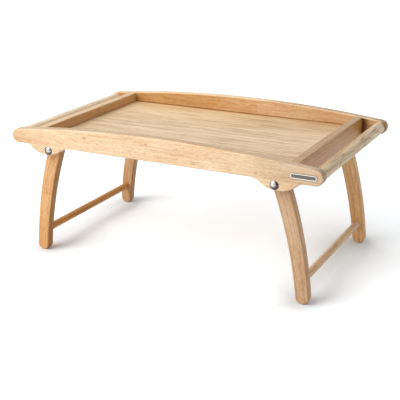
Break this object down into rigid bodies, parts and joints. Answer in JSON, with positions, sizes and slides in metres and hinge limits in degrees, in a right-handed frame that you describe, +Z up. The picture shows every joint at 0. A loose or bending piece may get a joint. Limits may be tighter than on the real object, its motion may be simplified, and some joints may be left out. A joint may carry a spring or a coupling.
{
  "type": "folding bed tray table",
  "caption": "Wooden bed tray table with arched side boards, bar handles at both ends and curved leg frames that fold flat under the tray.",
  "frame": {"origin": "on the floor under the middle of the tray, with both leg frames open", "axes": "+X along the tray's length to the right end, the end with the plate, +Y from the front board to the back board, +Z up"},
  "size_m": [0.58, 0.3426, 0.2477],
  "materials": {
    "board_wood": "satin",
    "floor_wood": "satin",
    "leg_wood": "satin",
    "pin_wood": "matte",
    "bright_metal": "polished",
    "plate_metal": "satin"
  },
  "bodies": {
    "tray": {"front_side_board": "board_wood", "back_side_board": "board_wood", "right_end_wall": "board_wood", "left_end_wall": "board_wood", "tray_bottom": "floor_wood", "right_handle_bar": "board_wood", "left_handle_bar": "board_wood", "front_plate": "plate_metal", "right_pivot_rivets": "bright_metal", "right_rivet_caps": "bright_metal", "right_spacer_washers": "bright_metal", "right_wall_pins": "pin_wood", "left_pivot_rivets": "bright_metal", "left_rivet_caps": "bright_metal", "left_spacer_washers": "bright_metal", "left_wall_pins": "pin_wood"},
    "left_leg_frame": {"left_stretcher": "leg_wood", "left_front_leg": "leg_wood", "left_back_leg": "leg_wood"},
    "right_leg_frame": {"right_stretcher": "leg_wood", "right_front_leg": "leg_wood", "right_back_leg": "leg_wood"}
  },
  "joints": [
    {"name": "left_leg_fold", "type": "hinge", "parent": "tray", "child": "left_leg_frame", "pos_m": [-0.2121, 0, 0.2], "axis": [0, -1, 0], "range_deg": [0, 103]},
    {"name": "right_leg_fold", "type": "hinge", "parent": "tray", "child": "right_leg_frame", "pos_m": [0.2121, 0, 0.2], "axis": [0, 1, 0], "range_deg": [0, 103]}
  ]
}
